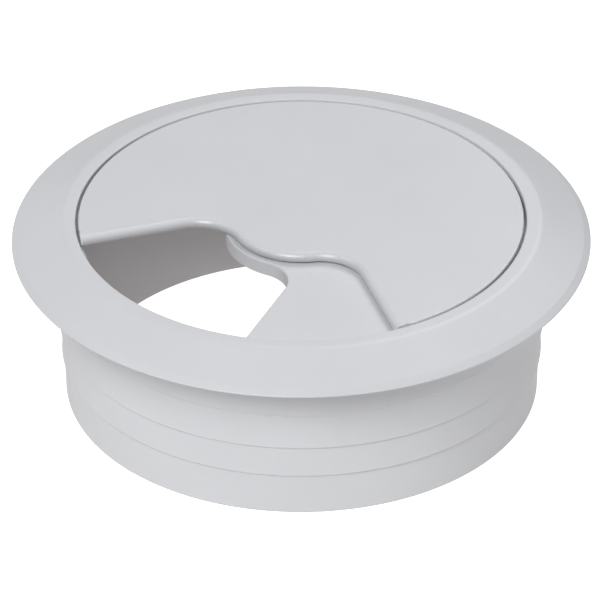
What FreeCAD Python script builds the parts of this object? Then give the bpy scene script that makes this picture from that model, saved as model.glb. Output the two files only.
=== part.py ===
"""Desk grommet: a liner that drops into a round hole in a desk top, and a cap that turns in it.

Both pieces carry a quarter notch. Where the two notches overlap, cables pass; turned apart, they close the hole.
The origin is on the axis, in the plane of the desk's top surface. +Z is up. Lengths are in millimetres.
"""
import FreeCAD, Part
import Sketcher
import math
import os

TOLERANCE = 0.001

doc = FreeCAD.newDocument("desk_grommet")

# ---------------------------------------------------------------- driving dimensions
sheet = doc.addObject("Spreadsheet::Sheet", "Sizes")

DIMENSIONS = [
    # the hole in the desk and how the liner sits in it
    ("panel_hole", 80.0, "diameter of the round hole in the desk top"),
    ("hole_clearance", 0.10, "radial room between the liner's widest band and the hole"),
    ("flange_overlap", 7.15, "how far the flange reaches past the hole, on each side"),
    ("liner_depth", 27.8, "length of the liner below the desk surface"),
    # the four bands of the sleeve, each a little narrower than the one above it
    ("first_band", 8.25, "length of the top band, the one that fits the hole"),
    ("second_band", 6.35, "length of the second band"),
    ("third_band", 5.55, "length of the third band"),
    ("band_step", 0.30, "how much each band is set in from the one above"),
    ("step_run", 0.35, "height over which a band steps in"),
    ("lip_height", 0.9, "height of the faintly flared lip at a band's lower end"),
    ("lip_flare", 0.04, "how far that lip flares out"),
    ("foot_taper", 0.20, "how much the bottom band narrows towards its end"),
    ("sleeve_wall", 3.2, "wall thickness at the top of the bottom band"),
    # the flange
    ("flange_height", 4.0, "height of the flange's flat land above the desk"),
    ("land_width", 2.3, "width of the flat land beside the cap"),
    ("nose_width", 1.1, "width of the rounded nose at the flange's edge"),
    ("nose_height", 0.95, "height of the nose's upper corner above the desk"),
    ("edge_height", 0.25, "height of the upright edge at the flange's rim"),
    ("foot_width", 3.0, "width of the ring that bears on the desk"),
    ("relief_height", 2.0, "depth of the hollow under the flange, beside the sleeve"),
    ("relief_width", 1.5, "width of that hollow at its full depth"),
    # the web that half closes the sleeve
    ("cap_seat", 0.9, "width of the ledge under the cap's rim"),
    ("web_thickness", 2.5, "thickness of the web"),
    ("web_hub_margin", 0.7, "how much larger the web's hub is than the cap's hub"),
    ("web_set_back_extra", 0.6, "how much further back the web's notch edges lie than the cap's"),
    ("web_notch_fillet", 5.95, "radius between the web's hub and its notch edges"),
    ("collar_depth", 3.0, "length of the pivot collar below the web"),
    ("collar_wall", 2.4, "wall of the pivot collar"),
    ("rib_thickness", 1.2, "thickness of the stiffening ribs under the web"),
    ("rib_depth", 2.4, "depth of those ribs"),
    ("rib_spacing", 45.0, "angle between neighbouring ribs, in degrees"),
    # the cap
    ("rim_gap", 0.45, "radial gap between the cap and the flange"),
    ("cap_thickness", 1.4, "thickness of the cap's plate"),
    ("under_gap", 0.30, "gap between the cap and the web"),
    ("bearing_gap", 0.05, "running clearance under the cap's bearing ring"),
    ("bearing_width", 2.0, "width of the bearing ring round the pivot pin"),
    ("notch_angle", 90.0, "angle between the two edges of a notch, in degrees"),
    ("notch_set_back", 4.35, "how far behind the axis the cap's notch edges pass"),
    ("hub_radius", 11.65, "radius of the cap's hub, where the notch stops"),
    ("notch_fillet", 6.95, "radius between the cap's hub and its notch edges"),
    ("notch_roll", 1.1, "rounding of the cap's top edge along the notch"),
    ("cap_turn", 40.7, "angle of the cap from the fully open position, in degrees"),
    # the snap pin that holds the cap
    ("pin_radius", 4.0, "radius of the pivot pin"),
    ("pin_clearance", 0.05, "radial running clearance of the pin in its collar"),
    ("barb_reach", 0.45, "how far the barb stands out from the pin"),
    ("barb_height", 1.6, "height of the barb"),
    ("barb_gap", 0.10, "axial play between the barb and the collar"),
    ("barb_tip", 0.9, "how much the pin's end narrows below the barb"),
    ("slot_width", 1.4, "width of the crossed slots that make the pin springy"),
    ("slot_roof", 1.0, "solid length of pin left above the slots"),
    # edge rounding
    ("crest_round", 2.4, "rounding between the land and the flange's slope"),
    ("nose_round", 0.8, "rounding of the nose's upper corner"),
    ("small_round", 0.20, "rounding of the small edges"),
    ("foot_round", 0.50, "rounding of the sleeve's outer edge at its end"),
    ("rim_round", 0.25, "rounding of the cap's outer edge"),
    ("web_round", 0.35, "rounding of the web's top edge along its notch"),
]

for row, (word, value, note) in enumerate(DIMENSIONS, start=1):
    sheet.set("A%d" % row, word)
    sheet.set("B%d" % row, str(value))
    sheet.setAlias("B%d" % row, word)
    sheet.set("C%d" % row, note)
doc.recompute()


def size(expression):
    """The present value of an expression that reads the sheet."""
    return float(sheet.evalExpression(expression))


# ---------------------------------------------------------------- derived sizes, as expressions
SPIGOT = "(Sizes.panel_hole / 2 - Sizes.hole_clearance)"
BANDS = ["Sizes.first_band", "Sizes.second_band", "Sizes.third_band"]
LAST_BAND = "(%s - %d * Sizes.band_step)" % (SPIGOT, len(BANDS))
FOOT = "(%s - Sizes.foot_taper)" % LAST_BAND
BORE = "(%s - Sizes.sleeve_wall)" % LAST_BAND
RELIEF = "(%s + Sizes.relief_width)" % SPIGOT
RECESS = "(%s + Sizes.cap_seat)" % BORE
LAND = "(%s + Sizes.land_width)" % RECESS
FLANGE = "(Sizes.panel_hole / 2 + Sizes.flange_overlap)"
NOSE = "(%s - Sizes.nose_width)" % FLANGE
FLANGE_FOOT = "(%s - Sizes.foot_width)" % FLANGE

WEB_TOP = "(Sizes.flange_height - Sizes.cap_thickness - Sizes.under_gap)"
WEB_BOTTOM = "(%s - Sizes.web_thickness)" % WEB_TOP
COLLAR_BOTTOM = "(%s - Sizes.collar_depth)" % WEB_BOTTOM
PIVOT = "(Sizes.pin_radius + Sizes.pin_clearance)"
COLLAR = "(%s + Sizes.collar_wall)" % PIVOT

CAP = "(%s - Sizes.rim_gap)" % RECESS
CAP_BOTTOM = "(Sizes.flange_height - Sizes.cap_thickness)"
BEARING_BOTTOM = "(%s + Sizes.bearing_gap)" % WEB_TOP
BEARING = "(Sizes.pin_radius + Sizes.bearing_width)"
BARB_TOP = "(%s - Sizes.barb_gap)" % COLLAR_BOTTOM
BARB = "(Sizes.pin_radius + Sizes.barb_reach)"
PIN_END = "(%s - Sizes.barb_height)" % BARB_TOP


# ---------------------------------------------------------------- helpers
def origin_plane(body, role):
    """One of the body's own origin planes, such as XY_Plane."""
    return next(feature for feature in body.Origin.OriginFeatures if feature.Role == role)


def new_body(label):
    body = doc.addObject("PartDesign::Body", label)
    body.Label = label
    return body


def new_sketch(body, name, role):
    sketch = body.newObject("Sketcher::SketchObject", name)
    sketch.AttachmentSupport = (origin_plane(body, role), [""])
    sketch.MapMode = "FlatFace"
    return sketch


def bind(sketch, constraint, expression):
    """Adds a constraint that has a value, and ties the value to an expression."""
    index = sketch.addConstraint(constraint)
    sketch.setExpression("Constraints[%d]" % index, expression)
    return index


def closed_outline(sketch, corners):
    """Draws a closed outline of straight lines. Each corner is a pair of expressions."""
    places = [FreeCAD.Vector(size(across), size(up), 0) for across, up in corners]
    count = len(places)
    for index in range(count):
        sketch.addGeometry(Part.LineSegment(places[index], places[(index + 1) % count]), False)
    for index in range(count):
        sketch.addConstraint(Sketcher.Constraint("Coincident", index, 2, (index + 1) % count, 1))
    for index, (across, up) in enumerate(corners):
        for kind, expression in (("DistanceX", across), ("DistanceY", up)):
            if expression == "0":
                axis = -2 if kind == "DistanceX" else -1
                sketch.addConstraint(Sketcher.Constraint("PointOnObject", index, 1, axis))
            else:
                value = size(expression)
                bind(sketch, Sketcher.Constraint(kind, -1, 1, index, 1, value), expression)


def revolve(body, name, corners):
    """Turns an outline, drawn as (radius, height) pairs, once round the Z axis."""
    sketch = new_sketch(body, name + "_outline", "XZ_Plane")
    closed_outline(sketch, corners)
    feature = body.newObject("PartDesign::Revolution", name)
    feature.Profile = sketch
    feature.ReferenceAxis = (sketch, ["V_Axis"])
    feature.Angle = 360
    doc.recompute()
    return feature


def notch_sketch(body, name, hub, set_back, fillet, outside):
    """Draws a notch that opens towards -X, as wide as notch_angle.

    The hub is an arc round the axis. A fillet on each side leads from it into a straight edge, which is parallel
    to a radius but lies set_back behind it, and an arc round the axis closes the outline outside.
    """
    sketch = new_sketch(body, name, "XY_Plane")
    hub_r, back, round_r, outer_r = size(hub), size(set_back), size(fillet), size(outside)
    half = math.radians(size("Sizes.notch_angle") / 2)

    def place(along, across):
        """A point along the upper edge's direction, and across it towards the middle of the notch."""
        x = -along * math.cos(half) - across * math.sin(half)
        y = along * math.sin(half) - across * math.cos(half)
        return FreeCAD.Vector(x, y, 0)

    def mirrored(point):
        return FreeCAD.Vector(point.x, -point.y, 0)

    centre_across = round_r - back
    centre_along = math.sqrt((hub_r + round_r) ** 2 - centre_across ** 2)
    centre = place(centre_along, centre_across)
    on_hub = centre * (hub_r / (hub_r + round_r))
    on_edge = place(centre_along, -back)
    at_rim = place(math.sqrt(outer_r ** 2 - back ** 2), -back)
    round_middle = centre + ((on_hub + on_edge) / 2 - centre).normalize() * round_r

    hub_arc = sketch.addGeometry(Part.Arc(on_hub, FreeCAD.Vector(-hub_r, 0, 0), mirrored(on_hub)), False)
    upper_round = sketch.addGeometry(Part.Arc(on_hub, round_middle, on_edge), False)
    upper_edge = sketch.addGeometry(Part.LineSegment(on_edge, at_rim), False)
    outer_arc = sketch.addGeometry(Part.Arc(at_rim, FreeCAD.Vector(-outer_r, 0, 0), mirrored(at_rim)), False)
    lower_edge = sketch.addGeometry(Part.LineSegment(mirrored(at_rim), mirrored(on_edge)), False)
    lower_round = sketch.addGeometry(Part.Arc(mirrored(on_edge), mirrored(round_middle), mirrored(on_hub)), False)

    def end_near(item, point):
        """Which end of an item, 1 or 2, lies at a point."""
        curve = sketch.Geometry[item]
        return 1 if curve.StartPoint.distanceToPoint(point) < curve.EndPoint.distanceToPoint(point) else 2

    def join(kind, one, other, point):
        sketch.addConstraint(Sketcher.Constraint(kind, one, end_near(one, point), other, end_near(other, point)))

    join("Tangent", hub_arc, upper_round, on_hub)
    join("Tangent", upper_round, upper_edge, on_edge)
    join("Coincident", upper_edge, outer_arc, at_rim)
    join("Coincident", outer_arc, lower_edge, mirrored(at_rim))
    join("Tangent", lower_edge, lower_round, mirrored(on_edge))
    join("Tangent", lower_round, hub_arc, mirrored(on_hub))
    for arc in (hub_arc, outer_arc):
        sketch.addConstraint(Sketcher.Constraint("Coincident", arc, 3, -1, 1))
    sketch.addConstraint(Sketcher.Constraint("Equal", upper_round, lower_round))
    upper_angle, lower_angle = "180 - Sizes.notch_angle / 2", "Sizes.notch_angle / 2"
    bind(sketch, Sketcher.Constraint("Angle", upper_edge, math.pi - half), upper_angle)
    bind(sketch, Sketcher.Constraint("Angle", lower_edge, half), lower_angle)
    bind(sketch, Sketcher.Constraint("Radius", hub_arc, hub_r), hub)
    bind(sketch, Sketcher.Constraint("Radius", upper_round, round_r), fillet)
    bind(sketch, Sketcher.Constraint("Radius", outer_arc, outer_r), outside)
    bind(sketch, Sketcher.Constraint("Distance", -1, 1, upper_edge, back), set_back)
    bind(sketch, Sketcher.Constraint("Distance", -1, 1, lower_edge, back), set_back)
    doc.recompute()
    return sketch


def round_edges(body, name, wanted, radius):
    """Rounds every edge of the body's present shape that wanted() picks."""
    before = body.Tip
    names = ["Edge%d" % number for number, edge in enumerate(before.Shape.Edges, start=1) if wanted(edge)]
    if not names:
        raise RuntimeError("%s found no edge to round" % name)
    feature = body.newObject("PartDesign::Fillet", name)
    feature.Base = (before, names)
    feature.setExpression("Radius", radius)
    doc.recompute()
    return feature


def circle_at(radius, height):
    """Picks full circles round the Z axis of one radius and height."""
    target_radius, target_height = size(radius), size(height)

    def wanted(edge):
        if not isinstance(edge.Curve, Part.Circle) or not edge.isClosed():
            return False
        same_radius = abs(edge.Curve.Radius - target_radius) < TOLERANCE
        return same_radius and abs(edge.Curve.Center.z - target_height) < TOLERANCE

    return wanted


def notch_edge_at(height, rim):
    """Picks the edges of a notch at one height: everything there but circles round the axis past the hub."""
    target_height, rim_radius = size(height), size(rim)

    def wanted(edge):
        box = edge.BoundBox
        if abs(box.ZMin - target_height) > TOLERANCE or abs(box.ZMax - target_height) > TOLERANCE:
            return False
        if not isinstance(edge.Curve, Part.Circle):
            return True
        on_axis = math.hypot(edge.Curve.Center.x, edge.Curve.Center.y) < TOLERANCE
        return not on_axis or (not edge.isClosed() and edge.Curve.Radius < rim_radius - TOLERANCE)

    return wanted


def rim_arc_at(radius, height):
    """Picks open arcs round the Z axis of one radius and height."""
    target_radius, target_height = size(radius), size(height)

    def wanted(edge):
        if not isinstance(edge.Curve, Part.Circle) or edge.isClosed():
            return False
        same_radius = abs(edge.Curve.Radius - target_radius) < TOLERANCE
        return same_radius and abs(edge.Curve.Center.z - target_height) < TOLERANCE

    return wanted


def cut_must_shrink(feature, name):
    """A pocket that points away from its solid cuts nothing and says nothing, so the volumes are compared."""
    if feature.Shape.Volume >= feature.BaseFeature.Shape.Volume - TOLERANCE:
        raise RuntimeError("%s cut nothing" % name)


def through_notch(body, name, sketch, bottom, top):
    """Cuts a notch sketch out of a body between two heights."""
    sketch.setExpression("AttachmentOffset.Base.z", top)
    pocket = body.newObject("PartDesign::Pocket", name)
    pocket.Profile = sketch
    pocket.setExpression("Length", "%s - %s" % (top, bottom))
    doc.recompute()
    cut_must_shrink(pocket, name)
    return pocket


# ---------------------------------------------------------------- liner
RIB_COUNT = 5


def band_steps():
    """Corners of the sleeve's outside from its lowest step up to the first: a chamfer, then a lip, for each band."""
    corners = []
    for index in range(len(BANDS), 0, -1):
        below = "(%s - %d * Sizes.band_step)" % (SPIGOT, index)
        radius = "(%s - %d * Sizes.band_step)" % (SPIGOT, index - 1)
        depth = "(%s)" % " + ".join(BANDS[:index])
        corners.append((below, "-(%s + Sizes.step_run)" % depth))
        corners.append(("(%s + Sizes.lip_flare)" % radius, "-" + depth))
        corners.append((radius, "-(%s - Sizes.lip_height)" % depth))
    return corners


def make_liner():
    """Flange, stepped sleeve, web and pivot collar: one moulding."""
    body = new_body("liner")
    revolve(body, "liner_turned", [
        (PIVOT, COLLAR_BOTTOM),
        (COLLAR, COLLAR_BOTTOM),
        (COLLAR, WEB_BOTTOM),
        (BORE, WEB_BOTTOM),
        (BORE, "-Sizes.liner_depth"),
        (FOOT, "-Sizes.liner_depth"),
    ] + band_steps() + [
        (SPIGOT, "Sizes.relief_height"),
        (RELIEF, "Sizes.relief_height"),
        (FLANGE_FOOT, "0"),
        (FLANGE, "0"),
        (FLANGE, "Sizes.edge_height"),
        (NOSE, "Sizes.nose_height"),
        (LAND, "Sizes.flange_height"),
        (RECESS, "Sizes.flange_height"),
        (RECESS, WEB_TOP),
        (PIVOT, WEB_TOP),
    ])
    round_edges(body, "crest", circle_at(LAND, "Sizes.flange_height"), "Sizes.crest_round")
    round_edges(body, "nose", circle_at(NOSE, "Sizes.nose_height"), "Sizes.nose_round")
    round_edges(body, "land_edge", circle_at(RECESS, "Sizes.flange_height"), "Sizes.small_round")
    round_edges(body, "sleeve_end", circle_at(FOOT, "-Sizes.liner_depth"), "Sizes.foot_round")
    round_edges(body, "sleeve_mouth", circle_at(BORE, "-Sizes.liner_depth"), "Sizes.small_round")

    hub = "(Sizes.hub_radius + Sizes.web_hub_margin)"
    set_back = "(Sizes.notch_set_back + Sizes.web_set_back_extra)"
    sketch = notch_sketch(body, "web_notch_outline", hub, set_back, "Sizes.web_notch_fillet", BORE)
    through_notch(body, "web_notch", sketch, WEB_BOTTOM, WEB_TOP)
    round_edges(body, "web_notch_edge", notch_edge_at(WEB_TOP, BORE), "Sizes.web_round")

    rib_outline = new_sketch(body, "rib_outline", "XY_Plane")
    rib_outline.setExpression("AttachmentOffset.Base.z", WEB_BOTTOM)
    rib_outline.setExpression("AttachmentOffset.Rotation.Angle", "-Sizes.rib_spacing * %d" % (RIB_COUNT // 2))
    half = "(Sizes.rib_thickness / 2)"
    closed_outline(rib_outline, [
        ("(%s - Sizes.collar_wall / 2)" % COLLAR, "-" + half),
        ("(%s + Sizes.sleeve_wall / 2)" % BORE, "-" + half),
        ("(%s + Sizes.sleeve_wall / 2)" % BORE, half),
        ("(%s - Sizes.collar_wall / 2)" % COLLAR, half),
    ])
    rib = body.newObject("PartDesign::Pad", "rib")
    rib.Profile = rib_outline
    rib.Reversed = True
    rib.setExpression("Length", "Sizes.rib_depth")
    doc.recompute()
    ribs = body.newObject("PartDesign::PolarPattern", "ribs")
    ribs.Originals = [rib]
    ribs.Axis = (rib_outline, ["N_Axis"])
    ribs.Mode = "Spacing"
    ribs.Occurrences = RIB_COUNT
    ribs.setExpression("Offset", "Sizes.rib_spacing")
    body.Tip = ribs
    doc.recompute()
    return body


# ---------------------------------------------------------------- cap
def make_cap():
    """The turning cap: a thin plate with a notch, a bearing ring and a springy pivot pin."""
    body = new_body("cap")
    revolve(body, "cap_turned", [
        ("0", "Sizes.flange_height"),
        (CAP, "Sizes.flange_height"),
        (CAP, CAP_BOTTOM),
        (BEARING, CAP_BOTTOM),
        (BEARING, BEARING_BOTTOM),
        ("Sizes.pin_radius", BEARING_BOTTOM),
        ("Sizes.pin_radius", BARB_TOP),
        (BARB, BARB_TOP),
        (BARB, "(%s - Sizes.barb_reach)" % BARB_TOP),
        ("(Sizes.pin_radius - Sizes.barb_tip)", PIN_END),
        ("0", PIN_END),
    ])
    outside = "(%s + Sizes.rim_gap)" % CAP
    sketch = notch_sketch(body, "notch_outline", "Sizes.hub_radius", "Sizes.notch_set_back",
                          "Sizes.notch_fillet", outside)
    through_notch(body, "notch", sketch, CAP_BOTTOM, "Sizes.flange_height")
    round_edges(body, "notch_roll", notch_edge_at("Sizes.flange_height", CAP), "Sizes.notch_roll")
    round_edges(body, "rim_edge", rim_arc_at(CAP, "Sizes.flange_height"), "Sizes.rim_round")

    slot_top = "(%s - Sizes.slot_roof)" % BEARING_BOTTOM
    half = "(Sizes.slot_width / 2)"
    reach = BARB
    for name, across, along in (("slot", reach, half), ("cross_slot", half, reach)):
        outline = new_sketch(body, name + "_outline", "XY_Plane")
        outline.setExpression("AttachmentOffset.Base.z", slot_top)
        closed_outline(outline, [
            ("-" + across, "-" + along),
            (across, "-" + along),
            (across, along),
            ("-" + across, along),
        ])
        pocket = body.newObject("PartDesign::Pocket", name)
        pocket.Profile = outline
        pocket.setExpression("Length", "%s - %s" % (slot_top, PIN_END))
        doc.recompute()
        cut_must_shrink(pocket, name)
    body.setExpression("Placement.Rotation.Angle", "Sizes.cap_turn")
    doc.recompute()
    return body


# ---------------------------------------------------------------- build, check and write
bodies = [make_liner(), make_cap()]
doc.recompute()

for item in doc.Objects:
    if "Invalid" in item.State or "Error" in item.State:
        raise RuntimeError("%s failed: %s" % (item.Label, item.State))
for body in bodies:
    if body.Shape.isNull() or not body.Shape.isValid():
        raise RuntimeError("%s has no valid shape" % body.Label)
    if len(body.Shape.Solids) != 1:
        raise RuntimeError("%s is not one solid" % body.Label)

os.makedirs("parts", exist_ok=True)
for body in bodies:
    box = body.Shape.BoundBox
    body.Shape.exportStep("parts/%s.step" % body.Label)
    print("%-6s %9.2f mm3, z %.2f to %.2f" % (body.Label, body.Shape.Volume, box.ZMin, box.ZMax))
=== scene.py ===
# %% [markdown]
# # A desk grommet
#
# A desk grommet lines the hole that cables take through a desk top. It is two mouldings: a liner with a
# broad flange, a stepped sleeve and a web that half closes it, and a cap that turns on the web. Both the web
# and the cap have a quarter notch, and cables pass where the two notches meet.
#
# This lesson loads the working model as a fixed frame and makes a finished piece for each moulding, with the
# small roundings that a mould gives, and a moulded plastic for each.

# %% The frame
import math

import bmesh
import bpy
from mathutils import Matrix, Vector


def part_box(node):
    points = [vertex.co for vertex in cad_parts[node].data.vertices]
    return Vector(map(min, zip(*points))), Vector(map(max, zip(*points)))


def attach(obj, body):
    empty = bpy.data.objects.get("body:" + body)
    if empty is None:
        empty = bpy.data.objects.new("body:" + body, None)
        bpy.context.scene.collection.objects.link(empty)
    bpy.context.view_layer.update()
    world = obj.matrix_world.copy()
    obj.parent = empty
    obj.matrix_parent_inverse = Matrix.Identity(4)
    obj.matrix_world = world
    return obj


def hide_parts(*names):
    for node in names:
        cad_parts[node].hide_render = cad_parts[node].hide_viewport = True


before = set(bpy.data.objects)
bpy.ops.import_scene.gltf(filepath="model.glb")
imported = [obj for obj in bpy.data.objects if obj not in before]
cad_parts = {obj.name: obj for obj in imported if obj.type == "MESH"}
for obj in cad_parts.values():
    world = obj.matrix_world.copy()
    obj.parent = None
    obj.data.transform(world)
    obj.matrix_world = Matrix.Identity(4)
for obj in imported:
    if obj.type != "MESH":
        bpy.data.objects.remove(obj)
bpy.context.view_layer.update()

# %% [markdown]
# ## Sizes
#
# The lesson counts in millimetres, the unit that mouldings are drawn in, and turns each place into metres
# where it enters a mesh. The overall radii and heights come from the frame, so that the finished pieces fit
# it. The others are the moulding's own: its walls, gaps, steps and roundings.

# %% Sizes from the frame
MM = 0.001

liner_low, liner_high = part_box("liner")
cap_low, cap_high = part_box("cap")

TOP = liner_high.z / MM
SLEEVE_END = liner_low.z / MM
FLANGE_R = liner_high.x / MM
CAP_R = cap_high.x / MM
PIN_END = cap_low.z / MM
print(f"flange radius {FLANGE_R:.2f}, cap radius {CAP_R:.2f}, sleeve down to {SLEEVE_END:.2f}")

# %% Sizes of the flange
RIM_GAP = 0.45
LAND_WIDTH = 2.3
NOSE_WIDTH = 1.1
NOSE_HEIGHT = 0.95
EDGE_HEIGHT = 0.25
FOOT_WIDTH = 3.0
RELIEF_HEIGHT = 2.0
RELIEF_WIDTH = 1.5

RECESS_R = CAP_R + RIM_GAP
LAND_R = RECESS_R + LAND_WIDTH
NOSE_R = FLANGE_R - NOSE_WIDTH
FOOT_RING_R = FLANGE_R - FOOT_WIDTH

# %% Sizes of the sleeve
FLANGE_OVERLAP = 7.15
HOLE_CLEARANCE = 0.10
BAND_LENGTHS = [8.25, 6.35, 5.55]
BAND_STEP = 0.30
STEP_RUN = 0.35
LIP_HEIGHT = 0.9
LIP_FLARE = 0.07
FOOT_TAPER = 0.20
SLEEVE_WALL = 3.2

SPIGOT_R = FLANGE_R - FLANGE_OVERLAP - HOLE_CLEARANCE
LAST_BAND_R = SPIGOT_R - len(BAND_LENGTHS) * BAND_STEP
BORE_R = LAST_BAND_R - SLEEVE_WALL

# %% Sizes of the web, the cap and the pin
CAP_THICKNESS = 1.4
UNDER_GAP = 0.30
WEB_THICKNESS = 2.5
WEB_ROUND = 0.35
CAP_BOTTOM = TOP - CAP_THICKNESS
WEB_TOP = CAP_BOTTOM - UNDER_GAP
WEB_BOTTOM = WEB_TOP - WEB_THICKNESS

NOTCH_HALF_ANGLE = math.radians(45)
HUB_R = 11.65
SET_BACK = 4.35
NOTCH_FILLET = 6.95
WEB_HUB_MARGIN = 0.7
WEB_SET_BACK_EXTRA = 0.6
WEB_HUB_R = HUB_R + WEB_HUB_MARGIN
WEB_SET_BACK = SET_BACK + WEB_SET_BACK_EXTRA
WEB_NOTCH_FILLET = 5.95
CAP_TURN = math.radians(40.7)

PIN_R = 4.0
RUNNING_GAP = 0.05
COLLAR_WALL = 2.4
COLLAR_DEPTH = 3.0
BEARING_WIDTH = 2.0
PIVOT_R = PIN_R + RUNNING_GAP
COLLAR_R = PIVOT_R + COLLAR_WALL
COLLAR_BOTTOM = WEB_BOTTOM - COLLAR_DEPTH
BEARING_R = PIN_R + BEARING_WIDTH
BEARING_BOTTOM = WEB_TOP + RUNNING_GAP

# %% [markdown]
# ## Drawing with operators
#
# A turned shape is half of its section, drawn as a wire and spun round the axis. A notch is drawn the same
# way, only flat: one vertex is spun round the axis for the hub, round the fillet's own centre for the fillet,
# and then pulled out straight along the notch's edge. Because every curve is an operator's, the number of
# steps is the only choice. A step of one and a quarter degrees is too fine to see in the flange's outline.

# %% Wires and corners
FULL_TURN = 2 * math.pi
STEP = FULL_TURN / 288
NOTCH_STEP = 3 * STEP
MERGE = 0.001 * MM
CORNER_SEGMENTS = 5
FINE_STEPS = 96


def wire(bm, corners, angle):
    """A chain of edges through (radius, height, rounding) corners, at an angle round the axis."""
    out = Vector((math.cos(angle), math.sin(angle), 0))
    places = [out * radius + Vector((0, 0, height)) for radius, height, _ in corners]
    verts = [bm.verts.new(place * MM) for place in places]
    for one, other in zip(verts, verts[1:]):
        bm.edges.new((one, other))
    for vert, (_, _, rounding) in zip(verts, corners):
        if rounding:
            round_corner(bm, vert, rounding)


def round_corner(bm, vert, rounding):
    """Rounds a wire's corner to a radius. The arc meets each side at radius / tan(half the corner's angle)."""
    edges = list(vert.link_edges)
    sides = [(edge.other_vert(vert).co - vert.co).normalized() for edge in edges]
    half = sides[0].angle(sides[1]) / 2
    bmesh.ops.bevel(
        bm, geom=[vert, *edges], offset=rounding * MM / math.tan(half), offset_type="OFFSET",
        segments=CORNER_SEGMENTS, profile=0.5, affect="VERTICES", clamp_overlap=False, material=-1,
    )


def spin_vert(bm, vert, centre, angle, steps):
    """Carries a vertex round a centre, leaving an arc of edges behind it. Gives the vertex at the far end."""
    made = bmesh.ops.spin(
        bm, geom=[vert], cent=centre * MM, axis=(0, 0, 1), angle=angle, steps=max(1, steps),
        use_merge=False, use_duplicate=False,
    )
    return next(item for item in made["geom_last"] if isinstance(item, bmesh.types.BMVert))


def spin_loose_wire(bm):
    """Spins the edges that have no face yet once round the axis, and closes the turn."""
    edges = [edge for edge in bm.edges if not edge.link_faces]
    verts = dict.fromkeys(vert for edge in edges for vert in edge.verts)
    bmesh.ops.spin(bm, geom=[*verts, *edges], cent=(0, 0, 0), axis=(0, 0, 1), angle=FULL_TURN,
                   steps=FINE_STEPS, use_merge=True, use_duplicate=False)


def pull_vert(bm, vert, to):
    """Pulls a vertex out to a new place, leaving a straight edge."""
    made = bmesh.ops.extrude_vert_indiv(bm, verts=[vert])
    made["verts"][0].co = to * MM
    return made["verts"][0]


def drop_walls(bm, edges, depth):
    """Pulls edges straight down into walls."""
    made = bmesh.ops.extrude_edge_only(bm, edges=edges)["geom"]
    verts = [item for item in made if isinstance(item, bmesh.types.BMVert)]
    bmesh.ops.translate(bm, vec=(0, 0, -depth * MM), verts=verts)


def radius_of(vert):
    return vert.co.xy.length / MM


def near(value, target, room=0.004):
    return abs(value - target) < room


# %% The notch, half of it, from the middle of its hub out to a rim
def notch_places(hub, set_back, fillet, rim):
    """The places where a notch changes curve. Its edges are parallel to radii, set_back behind the axis."""
    half = NOTCH_HALF_ANGLE

    def place(along, across):
        x = -along * math.cos(half) - across * math.sin(half)
        y = along * math.sin(half) - across * math.cos(half)
        return Vector((x, y, 0))

    across = fillet - set_back
    along = math.sqrt((hub + fillet) ** 2 - across ** 2)
    centre = place(along, across)
    return {
        "centre": centre,
        "on_hub": centre * (hub / (hub + fillet)),
        "on_edge": place(along, -set_back),
        "at_rim": place(math.sqrt(rim ** 2 - set_back ** 2), -set_back),
    }


def turn_between(centre, start, end):
    """The signed angle from one place to another as seen from a centre."""
    one, other = start - centre, end - centre
    return math.atan2(one.x * other.y - one.y * other.x, one.dot(other))


def draw_half_notch(bm, hub, set_back, fillet, rim, height):
    """Draws the notch's upper half, and gives the vertex where it reaches the rim."""
    places = notch_places(hub, set_back, fillet, rim)
    level = Vector((0, 0, height))
    middle = Vector((-hub, 0, 0))
    vert = bm.verts.new((middle + level) * MM)
    hub_turn = turn_between(Vector(), middle, places["on_hub"])
    vert = spin_vert(bm, vert, level, hub_turn, round(abs(hub_turn) / NOTCH_STEP))
    fillet_turn = turn_between(places["centre"], places["on_hub"], places["on_edge"])
    fillet_steps = round(abs(fillet_turn) / NOTCH_STEP)
    vert = spin_vert(bm, vert, places["centre"] + level, fillet_turn, fillet_steps)
    return pull_vert(bm, vert, places["at_rim"] + level)


def mirror_across(bm):
    """Mirrors the wire to the other side of the notch's middle and joins the two halves."""
    geom = [*bm.verts, *bm.edges]
    bmesh.ops.mirror(bm, geom=geom, matrix=Matrix.Identity(4), merge_dist=MERGE, axis="Y")
    bmesh.ops.remove_doubles(bm, verts=bm.verts[:], dist=MERGE)


# %% Faces, walls and roundings
def edge_between(bm, start, end):
    """Joins the vertices nearest to two places with an edge, and gives it."""
    places = (start * MM, end * MM)
    ends = [min(bm.verts, key=lambda vert: (vert.co - place).length) for place in places]
    return bm.edges.get(ends) or bm.edges.new(ends)


def at_height(edge, height):
    return all(near(vert.co.z / MM, height) for vert in edge.verts)


def fill_halves(bm, loops, height, inner, outer_start, outer_end):
    """Fills the flat ring between a round hole and an outline with two faces, one each side of the middle."""
    level = Vector((0, 0, height))
    seams = [
        edge_between(bm, level - Vector((inner, 0, 0)), outer_start + level),
        edge_between(bm, level + Vector((inner, 0, 0)), outer_end + level),
    ]
    for side in (1, -1):
        half = [edge for edge in loops if side * (edge.verts[0].co.y + edge.verts[1].co.y) > 0]
        bmesh.ops.contextual_create(bm, geom=half + seams)


def bevel(bm, edges, width, segments):
    bmesh.ops.bevel(
        bm, geom=edges, offset=width * MM, offset_type="OFFSET", segments=segments, profile=0.5,
        affect="EDGES", clamp_overlap=False, loop_slide=True, material=-1,
    )


def boundary(bm):
    return [edge for edge in bm.edges if len(edge.link_faces) == 1]


def walls_beside(edge):
    """How many of an edge's faces are walls, and not floors or roofs."""
    return sum(abs(face.normal.z) < 0.5 for face in edge.link_faces)


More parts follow.
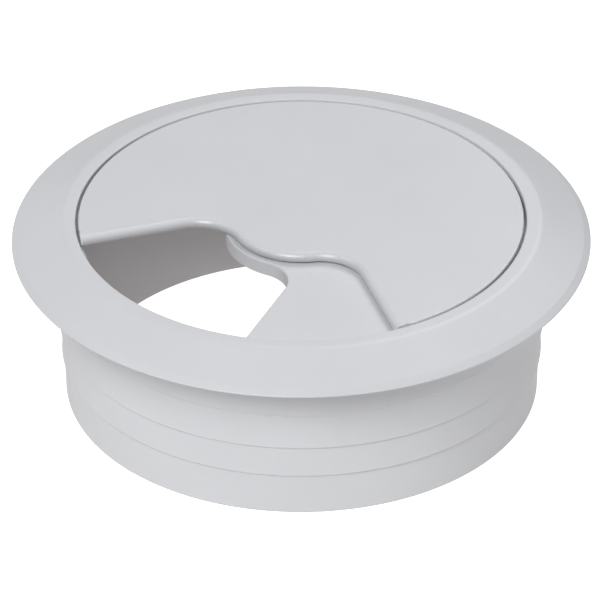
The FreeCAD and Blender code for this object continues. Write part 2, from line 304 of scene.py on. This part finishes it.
# %% [markdown]
# ## From mesh to piece
#
# A finished piece is one mesh of closed surfaces at the origin. Its faces are smooth, apart from the few inner
# corners that a mould leaves sharp, and a Weighted Normal modifier lets the broad flat faces keep their flat
# shading beside the narrow roundings. Each vertex also notes whether it lies on an outer rounding: that is
# where a finger or a cloth polishes plastic first, so the finish reads the note later.

# %% Finishing a piece
SHARP = math.radians(38)
EDGE_ANGLE = math.radians(7)
SMALL_FACE = 1.2 * MM * MM
WEAR = "edge_wear"


def note_edge_wear(bm):
    """Writes 1 on vertices of outer roundings and 0 elsewhere."""
    layer = bm.verts.layers.float.new(WEAR)
    for vert in bm.verts:
        small = all(face.calc_area() < SMALL_FACE for face in vert.link_faces)
        turned = [edge.calc_face_angle_signed(0) for edge in vert.link_edges]
        vert[layer] = float(small and max(turned, default=0) > EDGE_ANGLE)


def finished_piece(bm, name, body, node):
    """Makes a bmesh an object that stands for a node and rides on its body."""
    bmesh.ops.recalc_face_normals(bm, faces=bm.faces[:])
    note_edge_wear(bm)
    mesh = bpy.data.meshes.new(name)
    bm.to_mesh(mesh)
    open_edges = len([edge for edge in bm.edges if len(edge.link_faces) != 2])
    bm.free()
    for polygon in mesh.polygons:
        polygon.use_smooth = True
    mesh.set_sharp_from_angle(angle=SHARP)
    piece = bpy.data.objects.new(name, mesh)
    bpy.context.scene.collection.objects.link(piece)
    weighted = piece.modifiers.new("even shading", "WEIGHTED_NORMAL")
    weighted.mode = "FACE_AREA"
    weighted.weight = 100
    weighted.keep_sharp = True
    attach(piece, body)
    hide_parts(node)
    triangles = sum(len(polygon.vertices) - 2 for polygon in mesh.polygons)
    print(f"{name}: {triangles} triangles, {open_edges} open edges")
    return piece


# %% [markdown]
# ## The liner
#
# The liner is turned apart from its web. Its section starts at the ledge under the cap's rim, climbs to the
# land, runs down the flange's slope to the rounded nose, and under the flange to the sleeve. The sleeve has
# four bands, each a little narrower than the one above, so that it starts easily in the hole and grips at the
# top. Each of the upper three ends in a faintly flared lip and a short chamfer.
#
# The section is spun in two stretches, one over the web and one over the notch, so that vertices fall exactly
# where the notch's edges reach the bore.

# %% Roundings of the liner's section
RECESS_ROUND = 0.12
RIM_ROUND = 0.20
CREST_ROUND = 2.4
NOSE_ROUND = 0.8
EDGE_ROUND = 0.16
DESK_SIDE_ROUND = 0.05
RELIEF_ROUND = 0.3
STEP_ROUND = 0.10
FOOT_ROUND = 0.50


# %% The liner's section
def liner_section():
    """Corners (radius, height, rounding) from the ledge round the outside to the foot of the web."""
    section = [
        (BORE_R, WEB_TOP, 0),
        (RECESS_R, WEB_TOP, RECESS_ROUND),
        (RECESS_R, TOP, RIM_ROUND),
        (LAND_R, TOP, CREST_ROUND),
        (NOSE_R, NOSE_HEIGHT, NOSE_ROUND),
        (FLANGE_R, EDGE_HEIGHT, EDGE_ROUND),
        (FLANGE_R, 0, DESK_SIDE_ROUND),
        (FOOT_RING_R, 0, RELIEF_ROUND),
        (SPIGOT_R + RELIEF_WIDTH, RELIEF_HEIGHT, RELIEF_ROUND),
        (SPIGOT_R, RELIEF_HEIGHT, RELIEF_ROUND),
    ]
    radius, depth = SPIGOT_R, 0
    for length in BAND_LENGTHS:
        depth += length
        section += [
            (radius, LIP_HEIGHT - depth, 0),
            (radius + LIP_FLARE, -depth, STEP_ROUND),
            (radius - BAND_STEP, -depth - STEP_RUN, STEP_ROUND),
        ]
        radius -= BAND_STEP
    return section + [
        (LAST_BAND_R - FOOT_TAPER, SLEEVE_END, FOOT_ROUND),
        (BORE_R, SLEEVE_END, RIM_ROUND),
        (BORE_R, WEB_BOTTOM, 0),
    ]


web_rim = notch_places(WEB_HUB_R, WEB_SET_BACK, WEB_NOTCH_FILLET, BORE_R)["at_rim"]
rim_angle = math.atan2(web_rim.y, web_rim.x)
web_range = 2 * rim_angle
notch_range = FULL_TURN - web_range
print(f"the web spans {math.degrees(web_range):.1f} degrees at the bore")

# %% Turning the liner
liner = bmesh.new()
wire(liner, liner_section(), rim_angle)
ring_start = [*liner.verts, *liner.edges]


def turn_section(bm, geom, angle):
    """Spins the section through part of a turn, in an even number of steps."""
    steps = 2 * round(abs(angle) / STEP / 2)
    bmesh.ops.spin(bm, geom=geom, cent=(0, 0, 0), axis=(0, 0, 1), angle=angle, steps=steps,
                   use_merge=False, use_duplicate=False)


turn_section(liner, ring_start, -web_range)
turn_section(liner, ring_start, notch_range)
bmesh.ops.remove_doubles(liner, verts=liner.verts[:], dist=MERGE)
print("ring:", len(liner.faces), "faces,", len(boundary(liner)), "edges still open")

# %% [markdown]
# The ring is still open between the ledge and the foot of the web. Over the notch that strip is the bore's
# wall, so it is bridged. Over the web it stays open, and the web grows from its two edges: a face above, a
# face below, the notch's wall between them, and the pivot collar spun as a small ring of its own.

# %% The bore's wall beside the notch
def on_bore(edge, height):
    return at_height(edge, height) and all(near(radius_of(vert), BORE_R) for vert in edge.verts)


def over_web(edge):
    middle = (edge.verts[0].co + edge.verts[1].co) / 2
    return abs(math.atan2(middle.y, middle.x)) < rim_angle


beside_notch = [
    edge for height in (WEB_TOP, WEB_BOTTOM) for edge in liner.edges
    if on_bore(edge, height) and not over_web(edge)
]
bmesh.ops.bridge_loops(liner, edges=beside_notch)
print("edges still open, all over the web:", len(boundary(liner)))

# %% The notch's wall
notch = bmesh.new()
draw_half_notch(notch, WEB_HUB_R, WEB_SET_BACK, WEB_NOTCH_FILLET, BORE_R, WEB_TOP)
mirror_across(notch)
drop_walls(notch, notch.edges[:], WEB_THICKNESS)
print("notch wall:", len(notch.faces), "faces")

# %% The pivot collar
COLLAR_LEAD_IN = 0.25
COLLAR_ROUND = 0.30

wire(notch, [
    (PIVOT_R, WEB_TOP, 0),
    (PIVOT_R, COLLAR_BOTTOM, COLLAR_LEAD_IN),
    (COLLAR_R, COLLAR_BOTTOM, COLLAR_ROUND),
    (COLLAR_R, WEB_BOTTOM, 0),
], 0)
spin_loose_wire(notch)

# %% Joining the web to the ring
joined = bpy.data.meshes.new("web")
notch.to_mesh(joined)
notch.free()
liner.from_mesh(joined)
bpy.data.meshes.remove(joined)
bmesh.ops.remove_doubles(liner, verts=liner.verts[:], dist=MERGE)

for height, hole in ((WEB_TOP, PIVOT_R), (WEB_BOTTOM, COLLAR_R)):
    loops = [edge for edge in boundary(liner) if at_height(edge, height)]
    fill_halves(liner, loops, height, hole, Vector((-WEB_HUB_R, 0, 0)), Vector((BORE_R, 0, 0)))
print("liner closed:", not boundary(liner))

# %% Rounding the opening's upper edge
def on_opening(edge):
    """True for the upper edge of the opening: the web's notch and the ledge beside it."""
    in_place = all(COLLAR_R < radius_of(vert) < BORE_R + 0.01 for vert in edge.verts)
    return at_height(edge, WEB_TOP) and in_place and walls_beside(edge) == 1


bmesh.ops.recalc_face_normals(liner, faces=liner.faces[:])
bevel(liner, [edge for edge in liner.edges if on_opening(edge)], WEB_ROUND, 4)

# %% [markdown]
# Five ribs under the web stop it from bending when a finger presses the cap. Each is a thin block with a
# little draft, so that it leaves the mould, and its lower edges are eased. Its ends and its top are rooted in
# the collar, the sleeve and the web.

# %% The ribs
RIB_THICKNESS = 1.2
RIB_DEPTH = 2.4
RIB_DRAFT = 0.06
RIB_ROUND = 0.20
RIB_ROOT = 0.8
RIB_SPACING = math.radians(45)
RIB_COUNT = 5


def add_rib(bm, angle):
    """Adds one rib, from the collar to the sleeve, at an angle round the axis."""
    start, end = COLLAR_R - RIB_ROOT, BORE_R + RIB_ROOT
    verts = bmesh.ops.create_cube(bm, size=1)["verts"]
    sides = Vector((end - start, RIB_THICKNESS, RIB_DEPTH + RIB_ROOT))
    bmesh.ops.scale(bm, vec=sides * MM, verts=verts)
    bottom = [vert for vert in verts if vert.co.z < 0]
    bmesh.ops.scale(bm, vec=(1, 1 - 2 * RIB_DRAFT / RIB_THICKNESS, 1), verts=bottom)
    middle_z = WEB_BOTTOM + (RIB_ROOT - RIB_DEPTH) / 2
    bmesh.ops.translate(bm, vec=Vector(((start + end) / 2, 0, middle_z)) * MM, verts=verts)
    bmesh.ops.rotate(bm, cent=(0, 0, 0), matrix=Matrix.Rotation(angle, 3, "Z"), verts=verts)
    lower_edges = [edge for vert in bottom for edge in vert.link_edges if edge.other_vert(vert) in bottom]
    bevel(bm, list(dict.fromkeys(lower_edges)), RIB_ROUND, 3)


for number in range(RIB_COUNT):
    add_rib(liner, (number - RIB_COUNT // 2) * RIB_SPACING)
liner_piece = finished_piece(liner, "liner_moulding", "liner", "liner")

# %% [markdown]
# ## The cap
#
# The cap is a thin plate in the outline of a disc with a quarter cut out. Its outline is one wire: the hub,
# the fillets, the notch's edges and the rim. The plate's upper edge is rolled over broadly along the notch,
# where cables rub and fingers push, and only eased along the rim. Underneath, a bearing ring runs on the web,
# and a springy pin of four prongs snaps through the collar.
#
# The rim's first step beside each end of the notch is a long one, because the broad roll cuts into it there.

# %% The plate's outline
FIRST_RIM_STEP = math.radians(2.6)

cap = bmesh.new()
rim_vert = draw_half_notch(cap, HUB_R, SET_BACK, NOTCH_FILLET, CAP_R, TOP)
rim_turn = -math.atan2(rim_vert.co.y, rim_vert.co.x)
level = Vector((0, 0, TOP))
rim_vert = spin_vert(cap, rim_vert, level, -FIRST_RIM_STEP, 1)
rest = rim_turn + FIRST_RIM_STEP
spin_vert(cap, rim_vert, level, rest, round(abs(rest) / STEP))
mirror_across(cap)

# %% The plate
outline = cap.edges[:]
bmesh.ops.contextual_create(cap, geom=outline)
drop_walls(cap, outline, CAP_THICKNESS)
print("plate outline:", len(outline), "edges")

# %% [markdown]
# The bearing ring and the root of the pin are spun together, and the plate's underside is filled round them.
# The pin's end is then cut by four planes into four quarters and a cross. Each quarter is pulled down to make
# a prong: first to the barb, out for the barb's shoulder, and in again to the tip.

# %% The bearing ring and the pin's root
SLOT_WIDTH = 1.4
SLOT_ROOF = 1.0
SLOT_TOP = BEARING_BOTTOM - SLOT_ROOF
BEARING_ROUND = 0.08

wire(cap, [
    (BEARING_R, CAP_BOTTOM, 0),
    (BEARING_R, BEARING_BOTTOM, BEARING_ROUND),
    (PIN_R, BEARING_BOTTOM, 0),
    (PIN_R, SLOT_TOP, 0),
], 0)
spin_loose_wire(cap)
loops = [edge for edge in boundary(cap) if at_height(edge, CAP_BOTTOM)]
fill_halves(cap, loops, CAP_BOTTOM, BEARING_R, Vector((-HUB_R, 0, 0)), Vector((CAP_R, 0, 0)))

# %% The four prongs
BARB_REACH = 0.45
BARB_GAP = 0.10
BARB_TIP = 0.9
BARB_R = PIN_R + BARB_REACH
BARB_TOP = COLLAR_BOTTOM - BARB_GAP


def at_pin_end(face):
    return all(near(vert.co.z / MM, SLOT_TOP) for vert in face.verts)


end_loop = [edge for edge in boundary(cap) if at_height(edge, SLOT_TOP)]
bmesh.ops.contextual_create(cap, geom=end_loop)
for normal in (Vector((1, 0, 0)), Vector((0, 1, 0))):
    for side in (1, -1):
        end_faces = [face for face in cap.faces if at_pin_end(face)]
        around = dict.fromkeys(item for face in end_faces for item in (*face.verts, *face.edges, face))
        bmesh.ops.bisect_plane(cap, geom=list(around), dist=MERGE, plane_no=normal,
                               plane_co=normal * (side * SLOT_WIDTH / 2 * MM))


def is_quarter(face):
    middle = face.calc_center_median() / MM
    inside = min(abs(middle.x), abs(middle.y)) > SLOT_WIDTH / 2
    return inside and at_pin_end(face)


def pull_prongs(bm, faces, height, radius, new_radius):
    """Extrudes the prongs' ends down to a height and moves their outer arcs to a new radius."""
    made = bmesh.ops.extrude_face_region(bm, geom=faces)["geom"]
    bmesh.ops.delete(bm, geom=faces, context="FACES_ONLY")
    verts = [item for item in made if isinstance(item, bmesh.types.BMVert)]
    outer = [vert for vert in verts if near(radius_of(vert), radius, 0.05)]
    for vert in verts:
        vert.co.z = height * MM
    bmesh.ops.scale(bm, vec=(new_radius / radius, new_radius / radius, 1), verts=outer)
    return [item for item in made if isinstance(item, bmesh.types.BMFace)]


ends = [face for face in cap.faces if is_quarter(face)]
print("prongs:", len(ends))
ends = pull_prongs(cap, ends, BARB_TOP, PIN_R, PIN_R)
ends = pull_prongs(cap, ends, BARB_TOP, PIN_R, BARB_R)
ends = pull_prongs(cap, ends, BARB_TOP - BARB_REACH, BARB_R, BARB_R)
ends = pull_prongs(cap, ends, PIN_END, BARB_R, PIN_R - BARB_TIP)

# %% [markdown]
# Bevelling the plate's edges comes last, one kind at a time: the broad roll along the notch, then the rim's even
# steps, and then the lower outline. The rim's bevel stops a step short of the roll, so that the two never meet.

# %% Rolling and easing the plate's edges
NOTCH_ROLL = 1.1
PLATE_ROUND = 0.25
UNDER_ROUND = 0.12
LONGEST_RIM_STEP = 1.2 * CAP_R * STEP * MM


def on_rim(edge):
    return all(near(radius_of(vert), CAP_R) for vert in edge.verts)


def on_outline(edge):
    return all(radius_of(vert) > HUB_R - 0.1 for vert in edge.verts) and walls_beside(edge) > 0


def links_within(vert, edges):
    return sum(edge in edges for edge in vert.link_edges)


bmesh.ops.recalc_face_normals(cap, faces=cap.faces[:])
bevel(cap, [edge for edge in cap.edges if at_height(edge, TOP) and not on_rim(edge)], NOTCH_ROLL, 10)
rim_edges = [edge for edge in cap.edges if at_height(edge, TOP) and on_rim(edge)]
short_rim = [edge for edge in rim_edges if edge.calc_length() < LONGEST_RIM_STEP]
full_rim = [edge for edge in short_rim if all(links_within(vert, short_rim) == 2 for vert in edge.verts)]
bevel(cap, full_rim, PLATE_ROUND, 4)
bevel(cap, [edge for edge in cap.edges if at_height(edge, CAP_BOTTOM) and on_outline(edge)], UNDER_ROUND, 2)
bmesh.ops.rotate(cap, cent=(0, 0, 0), matrix=Matrix.Rotation(CAP_TURN, 3, "Z"), verts=cap.verts[:])
cap_piece = finished_piece(cap, "cap_moulding", "cap", "cap")

# %% [markdown]
# ## Moulded plastic
#
# The grommet is moulded in a light grey plastic with a satin surface. The mould's own surface is finely
# eroded, so the plastic has a grain of a fifth of a millimetre over a slow waviness of a few millimetres. The
# pigment is even to within a few percent. Outer edges are polished a little smoother than the rest.
#
# Both mouldings use the same effects, so each effect is a node group with named inputs and outputs, built
# once, and each material places it with its own values. Everything reads Object coordinates, which are metres
# on these pieces.

# %% A helper for node groups
def new_group(name, inputs, outputs):
    """A shader node group with float or vector inputs and outputs. Gives the tree and its two ends."""
    tree = bpy.data.node_groups.new(name, "ShaderNodeTree")
    for word, kind in inputs:
        tree.interface.new_socket(word, in_out="INPUT", socket_type=kind)
    for word, kind in outputs:
        tree.interface.new_socket(word, in_out="OUTPUT", socket_type=kind)
    return tree, tree.nodes.new("NodeGroupInput"), tree.nodes.new("NodeGroupOutput")


def maths(tree, operation, first, second):
    """A Math node whose inputs are sockets or numbers. Gives its result."""
    node = tree.nodes.new("ShaderNodeMath")
    node.operation = operation
    for socket, value in zip(node.inputs, (first, second)):
        if isinstance(value, bpy.types.NodeSocket):
            tree.links.new(value, socket)
        else:
            socket.default_value = value
    return node.outputs[0]


def noise(tree, place, scale, detail, roughness):
    node = tree.nodes.new("ShaderNodeTexNoise")
    tree.links.new(place, node.inputs["Vector"])
    for word, value in (("Scale", scale), ("Detail", detail), ("Roughness", roughness)):
        node.inputs[word].default_value = value
    return node.outputs["Fac"]


def from_axis(tree, place):
    """The square of the distance from the axis, and the height, as two sockets."""
    parts = tree.nodes.new("ShaderNodeSeparateXYZ")
    tree.links.new(place, parts.inputs[0])
    squares = [maths(tree, "POWER", parts.outputs[side], 2) for side in ("X", "Y")]
    return maths(tree, "ADD", *squares), parts.outputs["Z"]


FLOAT, VECTOR = "NodeSocketFloat", "NodeSocketVector"

# %% The eroded grain
FINE_GRAIN = 4600
COARSE_GRAIN = 1500
WAVINESS = 160

grain_group, ends_in, ends_out = new_group(
    "eroded grain", [("Place", VECTOR)], [("Height", FLOAT), ("Pits", FLOAT)])
fine = noise(grain_group, ends_in.outputs["Place"], FINE_GRAIN, 2.0, 0.55)
coarse = noise(grain_group, ends_in.outputs["Place"], COARSE_GRAIN, 1.0, 0.5)
wavy = noise(grain_group, ends_in.outputs["Place"], WAVINESS, 1.0, 0.4)
grain_height = maths(grain_group, "ADD", maths(grain_group, "MULTIPLY", fine, 0.55),
                     maths(grain_group, "MULTIPLY", coarse, 0.45))
grain_height = maths(grain_group, "ADD", grain_height, maths(grain_group, "MULTIPLY", wavy, 1.5))
grain_group.links.new(grain_height, ends_out.inputs["Height"])
grain_group.links.new(fine, ends_out.inputs["Pits"])

# %% The pigment's slow variation
PIGMENT_CLOUDS = 45
PIGMENT_STREAKS = 210

pigment_group, ends_in, ends_out = new_group("pigment", [("Place", VECTOR)], [("Shade", FLOAT)])
clouds = noise(pigment_group, ends_in.outputs["Place"], PIGMENT_CLOUDS, 2.0, 0.5)
streaks = noise(pigment_group, ends_in.outputs["Place"], PIGMENT_STREAKS, 3.0, 0.6)
shade = maths(pigment_group, "ADD", maths(pigment_group, "MULTIPLY", clouds, 0.7),
              maths(pigment_group, "MULTIPLY", streaks, 0.3))
pigment_group.links.new(shade, ends_out.inputs["Shade"])

# %% Polished edges
SCUFF_SCALE = 900

polish_group, ends_in, ends_out = new_group("polished edges", [("Place", VECTOR)], [("Polish", FLOAT)])
attribute = polish_group.nodes.new("ShaderNodeAttribute")
attribute.attribute_name = WEAR
scuffs = noise(polish_group, ends_in.outputs["Place"], SCUFF_SCALE, 3.0, 0.6)
patchy = maths(polish_group, "ADD", maths(polish_group, "MULTIPLY", scuffs, 0.8), 0.3)
polish_group.links.new(maths(polish_group, "MULTIPLY", attribute.outputs["Fac"], patchy),
                       ends_out.inputs["Polish"])

# %% [markdown]
# The cap slides over the web and the ledge each time that it is turned, and leaves faint rings there. They are
# a noise of the distance from the axis alone, kept to the height of those two.

# %% Rings that the cap rubs
RING_SCALE = 2600
RUB_DEPTH = 0.15

rub_group, ends_in, ends_out = new_group("rubbed rings", [("Place", VECTOR)], [("Rings", FLOAT)])
square, height = from_axis(rub_group, ends_in.outputs["Place"])
distance = maths(rub_group, "SQRT", square, 0)
along_radius = rub_group.nodes.new("ShaderNodeCombineXYZ")
rub_group.links.new(distance, along_radius.inputs["X"])
rings = noise(rub_group, along_radius.outputs[0], RING_SCALE, 2.0, 0.7)
height_off = maths(rub_group, "ABSOLUTE", maths(rub_group, "SUBTRACT", height, WEB_TOP * MM), 0)
on_web = maths(rub_group, "LESS_THAN", height_off, RUB_DEPTH * MM)
rub_group.links.new(maths(rub_group, "MULTIPLY", rings, on_web), ends_out.inputs["Rings"])

# %% [markdown]
# The lower part of the cap's rolled edge turns away from the light above, and it is painted darker there: this
# is painted shade. It deepens down the roll, and it stays clear of the rim.

# %% Painted shade on the rolled edge
# Painted shade: the cap's rolled edge is darkened from just below its top down to the plate's underside.
ROLL_SHADE_TOP = TOP - 0.10
ROLL_SHADE_BOTTOM = CAP_BOTTOM
ROLL_SHADE_RIM = CAP_R - 0.35

roll_shade_group, ends_in, ends_out = new_group("painted roll shade", [("Place", VECTOR)], [("Roll shade", FLOAT)])
square, height = from_axis(roll_shade_group, ends_in.outputs["Place"])
depth = roll_shade_group.nodes.new("ShaderNodeMapRange")
depth.interpolation_type = "SMOOTHSTEP"
roll_shade_group.links.new(height, depth.inputs["Value"])
depth.inputs["From Min"].default_value = ROLL_SHADE_TOP * MM
depth.inputs["From Max"].default_value = ROLL_SHADE_BOTTOM * MM
off_rim = maths(roll_shade_group, "LESS_THAN", square, (ROLL_SHADE_RIM * MM) ** 2)
roll_shade_amount = maths(roll_shade_group, "MULTIPLY", depth.outputs["Result"], off_rim)
roll_shade_group.links.new(roll_shade_amount, ends_out.inputs["Roll shade"])

# %% [markdown]
# ## The material
#
# A satin plastic is a diffuse body under a thin clear skin. The Principled shader is both: its base colour is
# the body, and its specular lobe, spread by the roughness, is the skin. The shader stays in the material, and
# the groups only feed it values.

# %% Building a plastic
# The colour that the painted shade on the rolled edge multiplies in.
ROLL_SHADE_TINT = (0.68, 0.67, 0.66)
PIGMENT_ENDS = (0.30, 0.70)
POLISH_GLOSS = 0.10
RUB_GLOSS = 0.10
PIT_DULLNESS = 0.08
PLASTIC_IOR = 1.49
GRAIN_DEPTH = 0.010


def placed(tree, group, place):
    node = tree.nodes.new("ShaderNodeGroup")
    node.node_tree = group
    tree.links.new(place, node.inputs["Place"])
    return node


def moulded_plastic(name, dark, light, roughness, roll_shade_share, shift):
    """A satin plastic. dark and light are the pigment's two ends, the next value sets how strongly painted shade
    darkens the cap's rolled edge, and shift moves the patterns about."""
    material = bpy.data.materials.new(name)
    material.use_nodes = True
    tree = material.node_tree
    shader = tree.nodes["Principled BSDF"]
    coordinates = tree.nodes.new("ShaderNodeTexCoord")
    mapping = tree.nodes.new("ShaderNodeMapping")
    mapping.inputs["Location"].default_value = shift
    tree.links.new(coordinates.outputs["Object"], mapping.inputs["Vector"])
    place = mapping.outputs["Vector"]

    grain = placed(tree, grain_group, place)
    pigment = placed(tree, pigment_group, place)
    polish = placed(tree, polish_group, place)
    rub = placed(tree, rub_group, coordinates.outputs["Object"])

    colour = tree.nodes.new("ShaderNodeValToRGB")
    for element, position, shade_end in zip(colour.color_ramp.elements, PIGMENT_ENDS, (dark, light)):
        element.position = position
        element.color = (*shade_end, 1)
    tree.links.new(pigment.outputs["Shade"], colour.inputs["Fac"])

    # Painted shade: the pigment is darkened down the cap's rolled edge.
    roll_shaded = tree.nodes.new("ShaderNodeMix")
    roll_shaded.data_type = "RGBA"
    roll_shaded.blend_type = "MULTIPLY"
    unshaded_colour, tint = [socket for socket in roll_shaded.inputs if socket.type == "RGBA"]
    mixed = next(socket for socket in roll_shaded.outputs if socket.type == "RGBA")
    tint.default_value = (*ROLL_SHADE_TINT, 1)
    roll_shade_node = placed(tree, roll_shade_group, coordinates.outputs["Object"])
    tree.links.new(maths(tree, "MULTIPLY", roll_shade_node.outputs["Roll shade"], roll_shade_share), roll_shaded.inputs["Factor"])
    tree.links.new(colour.outputs["Color"], unshaded_colour)
    tree.links.new(mixed, shader.inputs["Base Color"])

    dull = maths(tree, "SUBTRACT", roughness, maths(tree, "MULTIPLY", polish.outputs["Polish"], POLISH_GLOSS))
    dull = maths(tree, "ADD", dull, maths(tree, "MULTIPLY", grain.outputs["Pits"], PIT_DULLNESS))
    dull = maths(tree, "SUBTRACT", dull, maths(tree, "MULTIPLY", rub.outputs["Rings"], RUB_GLOSS))
    tree.links.new(dull, shader.inputs["Roughness"])

    bump = tree.nodes.new("ShaderNodeBump")
    bump.inputs["Strength"].default_value = 1.0
    bump.inputs["Distance"].default_value = GRAIN_DEPTH * MM
    tree.links.new(grain.outputs["Height"], bump.inputs["Height"])
    tree.links.new(bump.outputs["Normal"], shader.inputs["Normal"])

    shader.inputs["IOR"].default_value = PLASTIC_IOR
    shader.inputs["Metallic"].default_value = 0
    return material


LINER_DARK = (0.604, 0.611, 0.628)
LINER_LIGHT = (0.630, 0.637, 0.654)
CAP_DARK = (0.606, 0.613, 0.632)
CAP_LIGHT = (0.634, 0.641, 0.660)
LINER_ROUGHNESS = 0.43
CAP_ROUGHNESS = 0.31
# The strength of the painted shade on the rolled edge, for each piece; only the cap takes it.
LINER_ROLL_SHADE = 0.0
CAP_ROLL_SHADE = 1.0
CAP_SHIFT = (0.11, 0.07, 0.03)

liner_piece.data.materials.append(
    moulded_plastic("liner plastic", LINER_DARK, LINER_LIGHT, LINER_ROUGHNESS, LINER_ROLL_SHADE, (0, 0, 0)))
cap_piece.data.materials.append(
    moulded_plastic("cap plastic", CAP_DARK, CAP_LIGHT, CAP_ROUGHNESS, CAP_ROLL_SHADE, CAP_SHIFT))
print("materials:", [material.name for material in bpy.data.materials])

# %% [markdown]
# ## The floor, the light and the camera
#
# The grommet stands on a glowing white table, so that light reaches under the flange and no shadow falls on
# the table. Seen directly, the table is a clean white all over. What it throws on the grommet is set apart
# from that, and the Light Path node tells the two kinds of ray apart: where the sleeve shuts the table in, it
# throws less light, and warmer, as if after several bounces off the plastic.
#
# From below, the table lets the eye through, so that the grommet's underside can be looked at.

# %% The table
TABLE_SIDE = 4.0
TABLE_GAP = 0.05
TABLE_THROWS = 0.70
SHUT_IN_THROWS = 0.50
TABLE_SHOWS = 1.15
TABLE_GREY = (0.30, 0.30, 0.30, 1)
OPEN_GLOW = (1, 0.985, 0.975, 1)
SHUT_IN_GLOW = (1, 0.93, 0.90, 1)

table_mesh = bpy.data.meshes.new("table")
table = bmesh.new()
bmesh.ops.create_grid(table, x_segments=1, y_segments=1, size=TABLE_SIDE / 2)
bmesh.ops.translate(table, vec=(0, 0, liner_low.z - TABLE_GAP * MM), verts=table.verts[:])
table.to_mesh(table_mesh)
table.free()
floor = bpy.data.objects.new("floor", table_mesh)
bpy.context.scene.collection.objects.link(floor)

# %% The table's glow
floor_paint = bpy.data.materials.new("pale table")
floor_paint.use_nodes = True
tree = floor_paint.node_tree
shader = tree.nodes["Principled BSDF"]
shader.inputs["Base Color"].default_value = TABLE_GREY
shader.inputs["Roughness"].default_value = 1.0
shader.inputs["Specular IOR Level"].default_value = 0.0

square, _ = from_axis(tree, tree.nodes.new("ShaderNodeTexCoord").outputs["Object"])
shut_in = maths(tree, "LESS_THAN", square, (BORE_R * MM) ** 2)
warmth = tree.nodes.new("ShaderNodeValToRGB")
for element, glow_colour in zip(warmth.color_ramp.elements, (OPEN_GLOW, SHUT_IN_GLOW)):
    element.color = glow_colour
tree.links.new(shut_in, warmth.inputs["Fac"])
tree.links.new(warmth.outputs["Color"], shader.inputs["Emission Color"])

less = maths(tree, "MULTIPLY", shut_in, SHUT_IN_THROWS - TABLE_THROWS)
throws = maths(tree, "ADD", less, TABLE_THROWS)
ray = tree.nodes.new("ShaderNodeLightPath")
shows = maths(tree, "MULTIPLY", ray.outputs["Is Camera Ray"], TABLE_SHOWS)
tree.links.new(maths(tree, "MAXIMUM", shows, throws), shader.inputs["Emission Strength"])

# %% The table from below
see_through = tree.nodes.new("ShaderNodeBsdfTransparent")
either = tree.nodes.new("ShaderNodeMixShader")
tree.links.new(tree.nodes.new("ShaderNodeNewGeometry").outputs["Backfacing"], either.inputs[0])
tree.links.new(shader.outputs[0], either.inputs[1])
tree.links.new(see_through.outputs[0], either.inputs[2])
tree.links.new(either.outputs[0], tree.nodes["Material Output"].inputs["Surface"])
floor.data.materials.append(floor_paint)

# %% [markdown]
# The room looks white but gives only a little even light, and softboxes do the rest. The main one stands above
# the camera's left shoulder, and a second behind the grommet lights the broad top. Weak ones at the sides and
# low at the back keep the slopes and the sleeve from going dull.

# %% The room's soft light
ROOM = 0.04
ROOM_TINT = (1, 0.99, 0.985, 1)

world = bpy.data.worlds.new("room")
bpy.context.scene.world = world
world.use_nodes = True
room = world.node_tree.nodes["Background"]
room.inputs["Color"].default_value = ROOM_TINT
room_ray = world.node_tree.nodes.new("ShaderNodeLightPath")
room_glow = maths(world.node_tree, "MULTIPLY", room_ray.outputs["Is Camera Ray"], TABLE_SHOWS)
world.node_tree.links.new(maths(world.node_tree, "MAXIMUM", room_glow, ROOM), room.inputs["Strength"])


# %% Softboxes
def direction(azimuth, elevation):
    a, e = math.radians(azimuth), math.radians(elevation)
    return Vector((math.cos(a) * math.cos(e), math.sin(a) * math.cos(e), math.sin(e)))


VIEW_AZIMUTH = 248.4
VIEW_ELEVATION = 32.86
SOFTBOX_TINT = (0.985, 0.99, 1.0)
SOFTBOX_DISTANCE = 1.6


def softbox(name, turn, elevation, width, power):
    """A round soft light that faces the grommet, turned from the camera's side by an angle in degrees."""
    light = bpy.data.lights.new(name, "AREA")
    light.shape = "DISK"
    light.size = width
    light.energy = power
    light.color = SOFTBOX_TINT
    lamp = bpy.data.objects.new(name, light)
    towards = direction(VIEW_AZIMUTH + turn, elevation)
    lamp.location = towards * SOFTBOX_DISTANCE
    lamp.rotation_euler = towards.to_track_quat("Z", "Y").to_euler()
    bpy.context.scene.collection.objects.link(lamp)


softbox("main", -21.6, 45, 0.8, 20.0)
softbox("high back", 158.4, 45, 0.8, 10.2)
softbox("left", -86.6, 50, 0.6, 2.7)
softbox("right", 68.4, 38, 0.8, 3.8)
softbox("low back", -150, 14, 0.6, 1.3)

# %% [markdown]
# The camera looks down at the side on which the opening shows best. Its lens is long, so that the flange looks
# nearly as wide at the back as at the front.

# %% The camera
DISTANCE = 1.191
LENS = 436.3
ROLL = math.radians(-0.20)
AIM = Vector((-0.21, 0.08, -12.10)) * MM

camera_data = bpy.data.cameras.new("camera")
camera_data.lens = LENS
camera_data.sensor_width = 36
camera_data.clip_start = 0.1
camera_data.clip_end = 20
camera = bpy.data.objects.new("camera", camera_data)
back = direction(VIEW_AZIMUTH, VIEW_ELEVATION)
camera.rotation_mode = "QUATERNION"
camera.rotation_quaternion = back.to_track_quat("Z", "Y") @ Matrix.Rotation(ROLL, 3, "Z").to_quaternion()
camera.location = AIM + back * DISTANCE
bpy.context.scene.collection.objects.link(camera)
bpy.context.scene.camera = camera
bpy.context.scene.view_settings.view_transform = "Standard"
